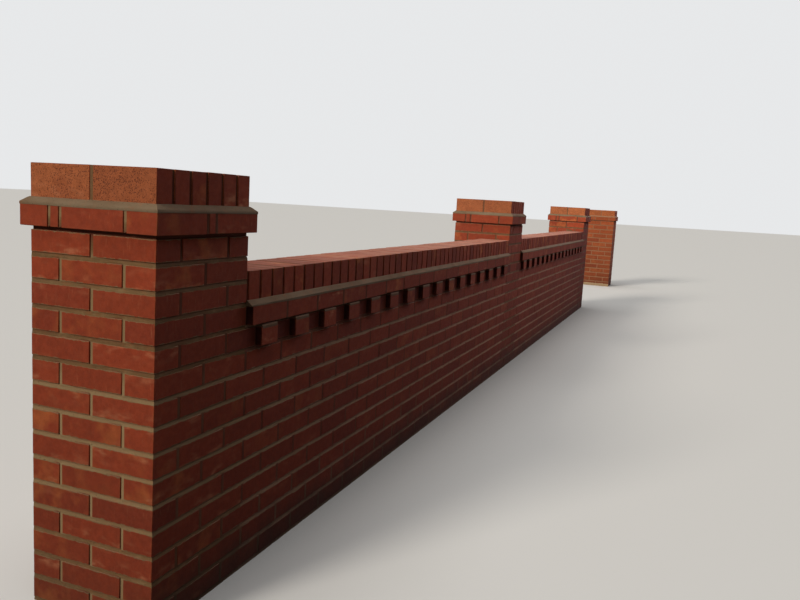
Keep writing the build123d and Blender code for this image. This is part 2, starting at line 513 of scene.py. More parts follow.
mortarLook = {
    "litFarther": (-4.8, -3.2),  # along X, where the panels' mortar grows paler and redder, as painted light
    "farGateLight": (4.0, 5.0, 0.0, 0.65),  # along X: the far gate pier's mortar is paler, as painted light
    "cloud": (22.0, 5.0, 0.6),
    "trowelStretch": (0.25, 0.25, 1.0),
    "paler": (0.42, 0.74, 0.0),  # by the cloud
    "palest": {False: 0.45, True: 0.6},  # struck and trowelled
    "darkening": (5.0, 3.0, 0.55, 0.40, 0.75, 0.0, 0.55),
    "batch": (1.0, 2.0, 0.55, 0.45, 0.65, 0.0, 0.24),  # each bed has its own
    "batchStretch": (0.5, 0.5, 14.0),
    # the end pier has paler beds halfway up: from and to up Z, and along X
    "halfway": ((0.20, 0.36, 0.15, 1.0), (0.735, 0.705), (-5.0, -5.6, 0.0, 0.80)),
    "shadedFoot": (-0.1, 0.9, 0.88, 1.0),  # up Z: painted shade, darker towards the ground
    "pits": (170.0, 2.0, 0.50, 0.66, 0.72, 0.0, 0.60),
    "stains": (33.0, 3.0, 0.55, 0.52, 0.78, 0.0, 0.20),
    "grains": 0.22,
    "dust": (6.0, 3.0, 0.60, 0.30, 0.70, 0.88, 1.15),
    "dustAndShadingUp": (0.05, 0.35, 0.45, 1.0),  # up Z
    "shadedFrom": (-3.0, -2.2, 0.0),  # along X: the joints from pier 2 on are darker, as painted shade
    "soil": 0.72,
    "sand": 620.0,
    "relief": (1.2, 0.8),  # of the cloud and of the sand
    "bump": (0.6, 0.0013),
    "roughness": (0.3, 0.7, 0.82, 0.95),  # by the cloud
}


def makeMortarMaterial(name, body, pale="mortarPale", trowelled=False, shadedBeyond=0.0, litFarther=None):
    look = mortarLook
    material, tree, shader = newMaterial(name)
    here = objectPlace(tree)
    spot = split(tree, here)
    sand = useGroup(tree, sandGrain, Scale=look["sand"])
    stretch = look["trowelStretch"] if trowelled else (1.0, 1.0, 1.0)
    cloud = noiseValue(tree, vectorMaths(tree, "MULTIPLY", here, stretch), *look["cloud"])
    colour = colours[body]
    # painted light: the mortar farther along is paler
    if litFarther:
        colour = paint(tree, colour, **{litFarther: ramp(tree, spot["X"], *look["litFarther"])})
    colour = paint(tree, colour, **{pale: ramp(tree, cloud, *look["paler"], look["palest"][trowelled])})
    colour = paint(tree, colour, mortarDark=patches(tree, here, *look["darkening"]))
    if not trowelled:
        own = patches(tree, vectorMaths(tree, "MULTIPLY", here, look["batchStretch"]), *look["batch"])
        upFrom, upTo, nearEnd = look["halfway"]
        halfway = times(tree, ramp(tree, spot["Z"], *upFrom), ramp(tree, spot["Z"], *upTo))
        halfway = times(tree, halfway, ramp(tree, spot["X"], *nearEnd))
        colour = paint(tree, colour, **{pale: maths(tree, "MAXIMUM", own, halfway)})
        # painted shade: darker towards the ground
        colour = brighten(tree, colour, ramp(tree, spot["Z"], *look["shadedFoot"]))
    # pits, grains and stains of brick
    pits, stains = patches(tree, here, *look["pits"]), patches(tree, here, *look["stains"])
    grains = times(tree, sand["Grains"], look["grains"])
    colour = paint(tree, colour, soil=pits, mortarDark=grains, clayBright=stains)
    # what the mesh says of each joint: dust and painted shade above nothing, a painted highlight below it
    shade = put(tree, "ShaderNodeAttribute", attribute_name="perpShade").outputs["Fac"]
    dust = times(tree, patches(tree, here, *look["dust"]), ramp(tree, spot["Z"], *look["dustAndShadingUp"]))
    # painted shade: the joints from pier 2 on are darker
    along = ramp(tree, spot["X"], *look["shadedFrom"], shadedBeyond)
    dust = maths(tree, "MAXIMUM", times(tree, shade, dust), along)
    paler = ramp(tree, shade, 0.0, -1.0)
    # painted light on the far gate pier's mortar
    gate = ramp(tree, spot["X"], *look["farGateLight"])
    soiled = useGroup(tree, splashedSoil, Most=look["soil"])["Mask"]
    colour = paint(tree, colour, mortarPale=paler, dusted=dust, gateMortar=gate, soil=soiled)
    clouded, sanded = look["relief"]
    height = maths(tree, "MULTIPLY_ADD", cloud, clouded, times(tree, sand["Height"], sanded))
    finishMaterial(tree, shader, colour, height, look["bump"], ramp(tree, cloud, *look["roughness"]))
    return material


pierBrick = makeBrickMaterial("pierBrick", blush=0.62, spread=0.11, scuffs=0.9, lap="lapMortar")
panelBrick = makeBrickMaterial("panelBrick", blush=0.30, spread=0.09, scuffs=0.25, lap="panelMortar")
mouldingBrick = makeBrickMaterial("mouldingBrick", darkArrises=0.15)
# painted shade for the recessed bricks and the dentils' flanks
recessShadeBrick = makeBrickMaterial("recessShadeBrick", "recessShadeClay", blush=0.3, haze=0.0, scuffs=0.0)
shadedBrick = makeBrickMaterial("shadedBrick", "shadedClay", blush=0.2, haze=0.0, scuffs=0.0)
copingBrick = makeBrickMaterial("copingBrick", blush=1.1, spread=0.22, scuffs=0.4, darkArrises=0.35)
capBrick = makeBrickMaterial("capBrick", darkArrises=0.45)
bedFaceBrick = makeBrickMaterial(
    "bedFaceBrick", "bedClay", blush=0.5, spread=0.08, haze=0.04, scuffs=0.6, pocked=True
)
struckMortar = makeMortarMaterial("struckMortar", "mortar", shadedBeyond=0.40)
panelMortar = makeMortarMaterial("panelMortar", "panelMortar", litFarther="litFartherMortar")
trowelledMortar = makeMortarMaterial("trowelledMortar", "trowelled", pale="trowelledPale", trowelled=True)
print("materials ready")


# Mesh work
def addBlock(work, low, high):
    low, high = Vector(low), Vector(high)
    made = bmesh.ops.create_cube(work, size=1.0)["verts"]
    bmesh.ops.scale(work, vec=high - low, verts=made)
    bmesh.ops.translate(work, vec=(low + high) / 2, verts=made)
    return made


def cutPlane(work, place, normal, parts=None, **settings):
    parts = parts or [*work.verts, *work.edges, *work.faces]
    cut = bmesh.ops.bisect_plane(work, geom=parts, dist=weld, plane_co=place, plane_no=normal, **settings)
    return cut["geom_cut"]


def cutAcross(work, way, place):
    normal = Vector([float(each == way) for each in range(3)])
    cutPlane(work, normal * place, normal)


def only(parts, kind):
    return [each for each in parts if isinstance(each, kind)]


def bevelEdges(work, edges, width, clamped=False):
    bmesh.ops.bevel(
        work, geom=edges, offset=width, offset_type="OFFSET", segments=1, profile=0.5, affect="EDGES",
        material=-1, clamp_overlap=clamped,
    )


def smoothMortar(work):
    for face in work.faces:
        face.smooth = True
    for edge in work.edges:
        edge.smooth = edge.calc_face_angle(0.0) < joints["sharp"]


def chooseMaterials(work, choose):
    work.normal_update()
    for face in work.faces:
        face.material_index = choose(face)


def meshFrom(work, name):
    mesh = bpy.data.meshes.new(name)
    work.to_mesh(mesh)
    work.free()
    return mesh


def addObject(name, data):
    made = bpy.data.objects.new(name, data)
    bpy.context.scene.collection.objects.link(made)
    return made


def keepPiece(work, name, materials, slotName, *nodes):
    mesh = meshFrom(work, name)
    for material in materials:
        mesh.materials.append(material)
    piece = addObject(name, mesh)
    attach(piece, "root")
    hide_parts(*nodes)


# Bricks
brickShapes = {}
brickFacts = ("brickPlace", "brickHalf", "brickTone")


def brickShape(size, chip):
    key = (*(round(side, 5) for side in size), chip)
    if key in brickShapes:
        return brickShapes[key]
    work = bmesh.new()
    addBlock(work, -size / 2, size / 2)
    longWay = max(range(3), key=lambda way: size[way])
    if size[longWay] > brick["width"]:
        for share in brick["thirds"]:
            cutAcross(work, longWay, size[longWay] * share)
    arrises = [edge for edge in work.edges if edge.calc_face_angle(0.0) > brick["square"]]
    bevelEdges(work, arrises, brick["arris"], clamped=True)
    if chip is not None:
        runs = brick["chips"][chip]
        slant = Vector([1 / run for run in runs]).normalized()
        cut = cutPlane(work, size / 2 - Vector((runs[0], 0, 0)), slant, clear_outer=True)
        bmesh.ops.edgeloop_fill(work, edges=only(cut, bmesh.types.BMEdge))
        bmesh.ops.recalc_face_normals(work, faces=work.faces)
    work.normal_update()
    for face in work.faces:
        face.smooth = max(map(abs, face.normal)) < brick["flat"]
    brickShapes[key] = meshFrom(work, "brickShape")
    return brickShapes[key]


def startBricks():
    work = bmesh.new()
    for fact in brickFacts:
        work.verts.layers.float_vector.new(fact)
    return work


# Lays one brick between two corners, and returns its faces
def layBrick(work, low, high, luck):
    low, high = Vector(low), Vector(high)
    size = high - low - Vector((2 * brick["shy"],) * 3)
    firstVert, firstFace = len(work.verts), len(work.faces)
    chip = luck.randrange(len(brick["chips"])) if luck.random() < brick["chipped"] else None
    work.from_mesh(brickShape(size, chip))
    work.verts.ensure_lookup_table()
    work.faces.ensure_lookup_table()
    place, half, tone = (work.verts.layers.float_vector[fact] for fact in brickFacts)
    ownTone = Vector((luck.random(), luck.random(), luck.random()))
    halfTurn = Euler([math.pi if way == luck.randrange(4) else 0.0 for way in range(3)])
    lean = Euler([luck.uniform(-brick["lean"], brick["lean"]) for way in range(3)])
    turn = lean.to_matrix() @ halfTurn.to_matrix()
    shift = Vector([luck.uniform(-1, 1) * brick[limit] for limit in ("wander", "wander", "rise")])
    lower = 1 - luck.uniform(0, brick["low"]) / size.z
    for vert in work.verts[firstVert:]:
        inside = vert.co.copy()
        vert[place], vert[half], vert[tone] = inside, size / 2, ownTone
        inside += Vector([luck.uniform(-brick["wobble"], brick["wobble"]) for way in range(3)])
        inside.z *= lower
        laid = (low + high) / 2 + turn @ inside + shift
        vert.co = [min(max(laid[way], cadLow[way]), cadHigh[way]) for way in range(3)]
    return work.faces[firstFace:]


# Mortar: a block that is cut along both edges and the middle of every joint, and then hollowed there
# nearestJoint gives how far a point is past the middle of the nearest bed and perp
# darkPerps tells how dark the perps are, facing along X, Y and Z; below nothing they are paler, a painted
# highlight
def mortarBlock(low, high, cuts, nearestJoint, pointing, darkPerps):
    work = bmesh.new()
    shade = work.verts.layers.float.new("perpShade")
    addBlock(work, low, high)
    for way, places in enumerate(cuts):
        for place in sorted(places):
            if low[way] + joints["clear"] < place < high[way] - joints["clear"]:
                cutAcross(work, way, place)
    for vert in work.verts:
        point = vert.co.copy()
        for way in range(3):
            for side, bound in ((-1, low[way]), (1, high[way])):
                found = nearestJoint(way, side, point) if abs(point[way] - bound) < touching else None
                if found:
                    bed, perp = found
                    leftward = perp * (-side if way == 0 else side)  # for someone who looks at that face
                    upright = abs(perp) < joints["reach"] and abs(bed) > joints["crossing"]
                    away, deepest = (leftward, "side") if upright else (bed, "deep")
                    share = jointShare(away, deepest)
                    profile = pointing[3] if way == 1 and side == 1 else pointing[way]
                    vert.co[way] = bound - side * jointDepth(share, deepest, point, profile)
                    perpShade = darkPerps[way] if upright else 0.0
                    # painted shadow darkens each joint towards its deep edge
                    vert[shade] = perpShade + (joints["paintedCreviceShade"] - perpShade) * min(share, 1.0) ** 2
    work.normal_update()
    smoothMortar(work)
    return work


# 0 at the flush edge of a joint and 1 at its deep edge; more than 1 is behind the bricks
def jointShare(away, deepest):
    if abs(away) > joints["reach"]:
        return 2.0
    return ((away / joints["reach"] + 1) / 2) ** joints["bend"][deepest]


def jointDepth(share, deepest, point, profile):
    if share > 1:
        return profile["hidden"]
    wander = sum(noise.noise(point * fine) * strong for fine, strong in joints["waves"]) * profile["wander"]
    return profile["flush"] + (profile[deepest] - profile["flush"]) * share + wander


def fromNearest(value, start, spacing):
    return (value - start + spacing / 2) % spacing - spacing / 2


def fromBed(z):
    return fromNearest(z, brick["joint"] / 2, gauge)


def courseAt(z):
    return math.floor((z - brick["joint"] / 2) / gauge)


def around(middles, cuts=jointCuts):
    return [middle + cut for middle in middles for cut in cuts]


def aroundBeds(low, high):
    count = round(high / gauge) + 2
    beds = [number for number in range(count) if low - brick["joint"] < number * gauge < high]
    return around([brick["joint"] / 2 + gauge * number for number in beds])


# Piers
pier = {
    "count": 4,
    "perp": brick["width"] + brick["joint"],  # from the middle of a header, stretcher, header face
    "wobbleCuts": (-0.190, -0.140, -0.056, 0.056, 0.140, 0.190),
    "endPerps": {1: -0.6, 2: 0.6, 3: 0.6, 4: 0.1},  # how dusted over the perps facing along the wall are; below nothing, a painted highlight on the end pier's
    "otherPerps": (0.8, 0.0),  # and those facing the street and up
    "oversailPerps": {1: -0.6, 2: 0.9, 3: 0.9, 4: 0.4},  # the same for the oversailing courses
    "oversailOthers": (0.7, 0.6),
    "shadowBed": 0.0050,  # depth of the bed under the oversailing course
    "shadowBedShade": 0.9,  # how dark the painted shadow on that bed is
    "gardenCorner": 0.0016,  # depth of the beds where they turn the corner to the garden
    "corner": 0.009,  # how near to the corner they do that
}
panelSides = {1: (1,), 2: (-1, 1), 3: (-1,), 4: ()}  # which sides of each pier carry a panel
toothedCourses = 11  # courses of a panel, from the ground, that can be toothed into the piers
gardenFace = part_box("panel_1_wall")[1].y
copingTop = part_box("panel_1_coping_bricks")[1].z


def pierRing(half, turned):
    joint, width = brick["joint"] / 2, brick["width"]
    ring = []
    for side in (-1, 1):
        across = sorted((side * (half - width), side * half))
        for end in (-1, 1):
            ring.append((*across, *sorted((end * joint, end * half)), side, end))
        ring.append((-brick["length"] / 2, brick["length"] / 2, *across, 0, side))
    if turned:
        ring = [(c, d, a, b, end, side) for a, b, c, d, side, end in ring]
    return ring


# Lays one brick whose sides are given from the middle of its pier
def layAbout(middle, work, sides, levels, luck):
    left, right, front, back = sides
    low, high = (middle.x + left, middle.y + front), (middle.x + right, middle.y + back)
    layBrick(work, (*low, levels[0]), (*high, levels[1]), luck)


def layPierShaft(number):
    node = f"pier_{number}_shaft"
    low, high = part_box(node)
    middle = (low + high) / 2
    half = (high.x - low.x) / 2
    luck = random.Random(100 + number)
    work = startBricks()
    for course in range(round((high.z - brick["joint"]) / gauge)):
        base = low.z + brick["joint"] + course * gauge
        levels = (base, base + brick["height"])
        for *sides, side, end in pierRing(half, course % 2):
            # a toothed stretcher of the panel stands in this brick's place
            if course % 2 == 0 and course < toothedCourses and side in panelSides[number] and end == -1:
                continue
            layAbout(middle, work, sides, levels, luck)
    keepPiece(work, f"{node}_bricks", [pierBrick], "brickwork", node)

    def nearestJoint(way, side, point):
        if way == 2:
            return None
        if way == 0 and side in panelSides[number] and point.z < copingTop and point.y < gardenFace - hair:
            return None
        along = point.y - middle.y if way == 0 else point.x - middle.x
        banded = (courseAt(point.z) % 2 == 0) == (way == 1)
        return fromBed(point.z), along - math.copysign(pier["perp"], along) if banded else along

    places = (*around((-pier["perp"], 0.0, pier["perp"])), *pier["wobbleCuts"])
    cuts = ([middle.x + place for place in places], [middle.y + place for place in places],
            aroundBeds(low.z, high.z))
    darkPerps = (pier["endPerps"][number], *pier["otherPerps"])
    upper = high + Vector((0, 0, joints["sunk"]))
    work = mortarBlock(low, upper, cuts, nearestJoint, wallPointing, darkPerps)
    shade = work.verts.layers.float["perpShade"]
    inner, outer = half - pier["shadowBed"], half - pier["gardenCorner"]
    corner = half - pier["corner"]
    for vert in work.verts:
        along = vert.co.x - middle.x
        inBed = abs(fromBed(vert.co.z)) < joints["reach"]
        if inBed and vert.co.y - middle.y > corner and corner < abs(along) < outer:
            vert.co.x = middle.x + math.copysign(outer, along)
        # painted shadow on the bed under the oversailing course, which is also set back
        if vert.co.z > high.z - brick["joint"] - joints["topBed"]:
            vert[shade] = pier["shadowBedShade"]
            for way in (0, 1):
                vert.co[way] = min(max(vert.co[way], middle[way] - inner), middle[way] + inner)
    keepPiece(work, f"{node}_joints", [struckMortar], "mortar", node)


def layOversailingCourse(number):
    node = f"pier_{number}_oversailing_course"
    low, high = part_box(node)
    middle = (low + high) / 2
    half = (high.x - low.x) / 2
    joint, closer = brick["joint"], brick["closer"]
    luck = random.Random(200 + number)
    work = startBricks()
    inner = half - brick["width"]
    long = inner - joint - closer - joint  # where the closer ends on a gable side, from the middle
    plan = []
    for side in (-1, 1):
        faces = sorted((side * inner, side * half))
        plan.append((-half, -half + brick["length"], *faces))
        plan.append((-closer / 2, closer / 2, *faces))
        plan.append((half - brick["length"], half, *faces))
        # the closer is towards the garden on the near side and towards the street on the far side
        plan.append((*faces, *sorted((-side * (inner - joint), -side * (inner - joint - closer)))))
        plan.append((*faces, *sorted((-side * long, side * (inner - joint)))))
    for sides in plan:
        layAbout(middle, work, sides, (low.z, high.z), luck)
    keepPiece(work, f"pier_{number}_oversailing_bricks", [mouldingBrick], "brickwork", node)

    closerJoints = (closer + joint) / 2
    edge = inner - joint / 2

    def nearestJoint(way, side, point):
        along = point.x - middle.x
        street = along - math.copysign(closerJoints, along)
        turned = -math.copysign(1.0, along)
        gables = (turned * edge, -turned * edge, turned * (edge - joint - closer))
        gable = min((point.y - middle.y - place for place in gables), key=abs)
        if way == 2:
            return (1.0, min(street, gable, key=abs)) if side == -1 else None
        return (1.0, street if way == 1 else gable)

    sidePerps = (edge, edge - joint - closer)
    cuts = (
        [middle.x + place for place in (*around((-closerJoints, closerJoints)), *pier["wobbleCuts"])],
        [middle.y + place for place in around((*sidePerps, *(-perp for perp in sidePerps)))],
        [low.z + brick["height"] / 2],
    )
    darkPerps = (pier["oversailPerps"][number], *pier["oversailOthers"])
    work = mortarBlock(low, high, cuts, nearestJoint, wallPointing, darkPerps)
    keepPiece(work, f"pier_{number}_oversailing_joints", [struckMortar], "mortar", node)


capWork = {
    "across": 6,
    "rows": 2,
    "levels": (0.25, 0.5, 0.75),  # where its mortar is cut, as shares of its height
    "endPerps": (0.1, 0.5),  # how dusted over they are, and the share of the shaft's that is added
    "otherPerps": (0.9, 0.2),
}


def layPierCap(number):
    node = f"pier_{number}_cap_bricks"
    low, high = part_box(node)
    joint = brick["joint"]
    thick = (high.x - low.x + joint) / capWork["across"] - joint
    deep = (high.y - low.y + joint) / capWork["rows"] - joint
    luck = random.Random(300 + number)
    work = startBricks()
    for row in range(capWork["rows"]):
        for place in range(capWork["across"]):
            left = low.x + place * (thick + joint)
            front = low.y + row * (deep + joint)
            for face in layBrick(work, (left, front, low.z), (left + thick, front + deep, high.z), luck):
                face.material_index = 1 if abs(face.normal.x) > faced else 0
    keepPiece(work, f"pier_{number}_cap_on_edge", [capBrick, bedFaceBrick], "brickwork", node)
    middle = (low + high) / 2

    def nearestJoint(way, side, point):
        across = fromNearest(point.x, low.x - joint / 2, thick + joint)
        between = point.y - middle.y
        if way == 0:
            return 1.0, between
        if way == 1:
            return 1.0, across
        return (between, across) if side == 1 else None

    perps = [low.x - joint / 2 + place * (thick + joint) for place in range(1, capWork["across"])]
    cuts = (
        around(perps, edgeCuts),
        [middle.y + place for place in (*around((0.0,), edgeCuts), *pier["wobbleCuts"])],
        [low.z + share * (high.z - low.z) for share in capWork["levels"]],
    )
    least, added = capWork["endPerps"]
    darkPerps = (least + max(pier["endPerps"][number], 0.0) * added, *capWork["otherPerps"])
    work = mortarBlock(low, high, cuts, nearestJoint, edgePointing, darkPerps)
    keepPiece(work, f"pier_{number}_cap_pointing", [struckMortar], "mortar", f"pier_{number}_cap_joints")


# Trowelled weathering
weathering = {
    "step": 0.021,  # length between two trowel waves
    "waves": ((9.0, 0.0, 1.1), (38.0, 7.0, 0.7)),  # how fine, where in the noise and how strong they are
    "wave": 0.0009,  # how far its edges wander up and down
    "topWave": 0.6,  # and how far down, in waves, the upper edge does so
    "footWave": (0.2, 0.8),  # the same for the lower edge, and its share of the wave
    "swell": 0.0005,  # unevenness of the slope
    "sunkIn": 0.5,  # how far it goes in, in swells, where there is no wave
    "seeds": (3.7, 20.0, 5.0),  # where piers, panels and the uneven laps of panels are in the noise
    "lip": 0.0010,
    "under": 0.0052,  # how far it laps over the arris below
    "down": 0.0020,  # how far its upper edge stays below the full lap
    "levels": (0.002, 0.0065, 0.011, 0.0155),  # where a pier's is cut, from its toe up
    "seat": 0.0012,  # how far behind the lip the seat of the cap begins
    "shown": 0.002,  # how far behind the lip it still waves
    # a panel's slope from its toe up: how far in and how high, and the same for its crest
    "slope": ((0.0, 0.002), (0.0052, 0.0062), (0.0106, 0.0108)),
    "crest": (0.0004, 0.0006),
    "slopeFrom": 0.003,  # how high the slope begins to swell
    "hiddenBack": 0.006,
    "uneven": (3.1, 0.0022),  # how fine and how far a panel's lap wanders
    "ended": (0.22, 0.0030),  # length over which its near end gets thin, and how much
}


def trowelWave(x, y, seed):
    wave = 0.0
    for fine, away, strong in weathering["waves"]:
        wave += noise.noise(Vector((x * fine, y * fine, seed + away))) * strong
    return wave


def topWave(wave):
    return (wave - weathering["topWave"]) * weathering["wave"] - weathering["down"]


def footWave(wave):
    middle, share = weathering["footWave"]
    return (wave - middle) * weathering["wave"] * share


def layPierWeathering(number):
    node = f"pier_{number}_weathering"
    low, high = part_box(node)
    capLow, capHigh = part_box(f"pier_{number}_cap_bricks")
    middle = (low + high) / 2
    half = (high.x - low.x) / 2 - hair
    topHalf = (capHigh.x - capLow.x) / 2 + weathering["lip"]
    corner = Vector((half, half, 0.0))
    work = bmesh.new()
    foot = Vector((middle.x, middle.y, low.z - weathering["under"]))
    addBlock(work, foot - corner, Vector((middle.x, middle.y, high.z)) + corner)
    for level in weathering["levels"]:
        cutAcross(work, 2, low.z + level)
    steps = round(2 * half / weathering["step"])
    for way in (0, 1):
        for step in range(1, steps):
            cutAcross(work, way, middle[way] - half + 2 * half * step / steps)
    toe = low.z + weathering["levels"][0]
    for vert in work.verts:
        rise = max(0.0, vert.co.z - toe) / (high.z - toe)
        share = (half + (topHalf - half) * rise) / half
        for way in (0, 1):
            vert.co[way] = middle[way] + (vert.co[way] - middle[way]) * share
    # the seat of the cap, sunk behind a thin lip
    work.normal_update()
    top = [face for face in work.faces if face.normal.z > faced]
    top = [face for face in top if face.calc_center_median().z > high.z - hair]
    inset = weathering["lip"] + weathering["seat"]
    bmesh.ops.inset_region(work, faces=top, thickness=inset, use_even_offset=True)
    seat = {vert for face in top for vert in face.verts}
    bmesh.ops.translate(work, vec=(0, 0, capLow.z + joints["sunk"] - high.z), verts=list(seat))
    for vert in work.verts:
        point = vert.co.copy()
        outside = max(abs(point.x - middle.x), abs(point.y - middle.y))
        if vert in seat or outside < topHalf - weathering["lip"] - weathering["shown"]:
            continue
        wave = trowelWave(point.x, point.y, number * weathering["seeds"][0])
        if point.z > high.z - hair:
            vert.co.z += topWave(wave)
        elif point.z < low.z - hair:
            vert.co.z += footWave(wave)
        elif point.z > toe + hair:
            inward = Vector((middle.x - point.x, middle.y - point.y, 0.0)).normalized()
            vert.co += inward * (weathering["sunkIn"] + wave) * weathering["swell"]
            vert.co.z -= weathering["down"] * (point.z - toe) / (high.z - toe)
    smoothMortar(work)
    keepPiece(work, f"{node}_slope", [trowelledMortar], "mortar", node)


for number in range(1, pier["count"] + 1):
    layPierShaft(number)
    layOversailingCourse(number)
    layPierCap(number)
    layPierWeathering(number)
print("piers laid")

# Panels; perps tells how dusted over they are, facing along X, Y and Z; in the dentils' recesses it is
# painted shade as well
panel = {
    "count": 2,
    "stretchers": 16,
    "onEdge": 3,  # bricks on edge over each stretcher
    "proud": 0.020,  # how far the string course stands out
    "wobble": (0.024, 0.0375),  # where the extra cuts of the beds begin, and how far apart they are
    "perps": (0.0, 1.0, 0.0),
    "stringPerps": (0.0, 0.8, 0.8),
    "copingPerps": (0.0, 0.9, 0.1),
    "dentilBed": 0.85,  # how dark the bed under the dentils is
    "stringEnd": 0.013,  # length of the string course's mortar that shows where it stands proud
    "dentilCut": 0.056,  # where the mortar between two perps is cut once more
    "copingCuts": ((0.2, 0.4, 0.6, 0.8), (0.33, 0.66)),  # shares of its depth and of its height
}
# The bed on top of each dentil, which carries the string course
dentilPad = {
    "laps": (0.004, 0.009),  # how far it laps over the dentil's upper arris
    "narrower": (0.001, 0.007),  # than the dentil
    "behind": 0.012,  # how far it goes in behind the face of the wall
    "foot": 0.0030,  # height of the struck part's lower edge
    "struck": 0.0085,  # like the other beds
    "arris": 0.0012,
    "dusted": (0.6, 0.95),  # painted shade on the lap, and darker painted shadow on the bed itself under the string course
}


def bothFaces(low, high):
    return (low.y, low.y + brick["width"]), (high.y - brick["width"], high.y)


def layRun(work, start, count, spacing, length, faces, levels, luck):
    for front, back in faces:
        for number in range(count):
            left = start + number * spacing
            layBrick(work, (left, front, levels[0]), (left + length, back, levels[1]), luck)


def jointRun(start, spacing, low, high):
    first = math.ceil((low - start) / spacing)
    last = math.floor((high - start) / spacing)
    return [start + number * spacing for number in range(first, last + 1)]


def layPanelWall(number):
    node = f"panel_{number}_wall"
    low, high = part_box(node)
    luck = random.Random(400 + number)
    joint, width, length = brick["joint"], brick["width"], brick["length"]
    work = startBricks()
    for course in range(round((high.z - joint) / gauge)):
        base = low.z + joint + course * gauge
        toothed = course % 2 == 0
        start = low.x - width if toothed else low.x + joint
        count = panel["stretchers"] + (1 if toothed else 0)
        levels = (base, base + brick["height"])
        layRun(work, start, count, pitch, length, bothFaces(low, high), levels, luck)
    keepPiece(work, f"{node}_bricks", [panelBrick], "brickwork", node)

    toothedPerp = low.x + width + joint * 1.5
    wholePerp = low.x + joint / 2

    def nearestJoint(way, side, point):
        if way != 1:
            return None
        start = toothedPerp if courseAt(point.z) % 2 == 0 else wholePerp
        return fromBed(point.z), fromNearest(point.x, start, pitch)

    wobbleStart, wobble = panel["wobble"]
    perps = around(jointRun(wholePerp, pitch / 2, low.x, high.x))
    cuts = ([*perps, *jointRun(low.x + wobbleStart, wobble, low.x, high.x)], [], aroundBeds(low.z, high.z))
    work = mortarBlock(low, high, cuts, nearestJoint, wallPointing, panel["perps"])
    shade = work.verts.layers.float["perpShade"]
    for vert in work.verts:
        if vert.co.z > high.z - joint - joints["topBed"]:
            vert[shade] = panel["dentilBed"]
    keepPiece(work, f"{node}_joints", [panelMortar], "mortar", node)


def layDentilCourse(number):
    node = f"panel_{number}_dentil_course"
    low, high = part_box(node)
    proud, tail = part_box(f"panel_{number}_dentils")
    luck = random.Random(500 + number)
    joint, width, count = brick["joint"], brick["width"], panel["stretchers"]
    top = low.z + brick["height"]
    levels = (low.z, top)
    first = low.x + joint + (brick["length"] - width) / 2

    work = startBricks()
    layRun(work, first, count, pitch, width, [(proud.y, tail.y)], levels, luck)
    # painted shade on the dentils' flanks, darkest on those facing the near end
    chooseMaterials(work, lambda face: 2 if face.normal.x < -faced else 1 if face.normal.x > faced else 0)
    keepPiece(
        work, f"panel_{number}_dentil_headers", [mouldingBrick, recessShadeBrick, shadedBrick], "brickwork",
        f"panel_{number}_dentils",
    )

    work = startBricks()
    # headers between the dentils, slips behind their tails, and bats toothed into the piers
    layRun(work, first + pitch / 2, count - 1, pitch, width, [(low.y, high.y)], levels, luck)
    layRun(work, first, count, pitch, width, [(tail.y + joint, high.y)], levels, luck)
    for start, end in ((low.x - width, first - joint), (high.x - (first - joint - low.x), high.x + width)):
        layRun(work, start, 1, pitch, end - start, bothFaces(low, high), levels, luck)
    # painted shade on the street faces of the recessed headers
    chooseMaterials(work, lambda face: 1 if face.normal.y < -faced else 0)
    keepPiece(work, f"{node}_bricks", [panelBrick, recessShadeBrick], "brickwork", node)

    firstPerp = first - joint / 2

    def nearestJoint(way, side, point):
        return (fromBed(point.z), fromNearest(point.x, firstPerp, pitch / 2)) if way == 1 else None

    perps = jointRun(firstPerp, pitch / 2, low.x, high.x)
    cuts = ([*around(perps), *(perp + panel["dentilCut"] for perp in perps)], [], aroundBeds(low.z, high.z))
    work = mortarBlock(low, high, cuts, nearestJoint, dentilPointing, panel["perps"])
    shade = work.verts.layers.float["perpShade"]
    front = proud.y + hair
    for place in range(count):
        lap = luck.uniform(*dentilPad["laps"])
        reach = (width - luck.uniform(*dentilPad["narrower"])) / 2
        middle = first + place * pitch + width / 2
        back, upper = low.y + dentilPad["behind"], top + joint - joints["sunk"]
        made = addBlock(work, (middle - reach, front, top - lap), (middle + reach, back, upper))
        parts = list({each for vert in made for each in (vert, *vert.link_edges, *vert.link_faces)})
        cut = cutPlane(work, (0, 0, top + dentilPad["foot"]), (0, 0, 1), parts)
        # painted shade on each pad, darker where it goes back under the string course
        for vert in made:
            vert[shade] = dentilPad["dusted"][vert.co.z > top]
            if vert.co.z > top and vert.co.y < front + touching:
                vert.co.y += dentilPad["struck"]
        made += only(cut, bmesh.types.BMVert)
        bevelEdges(work, list({edge for vert in made for edge in vert.link_edges}), dentilPad["arris"])
    for face in work.faces:
        face.material_index = 1 if face.calc_center_median().y < low.y - hair * 5 else 0
    keepPiece(work, f"{node}_joints", [panelMortar, trowelledMortar], "mortar", node)


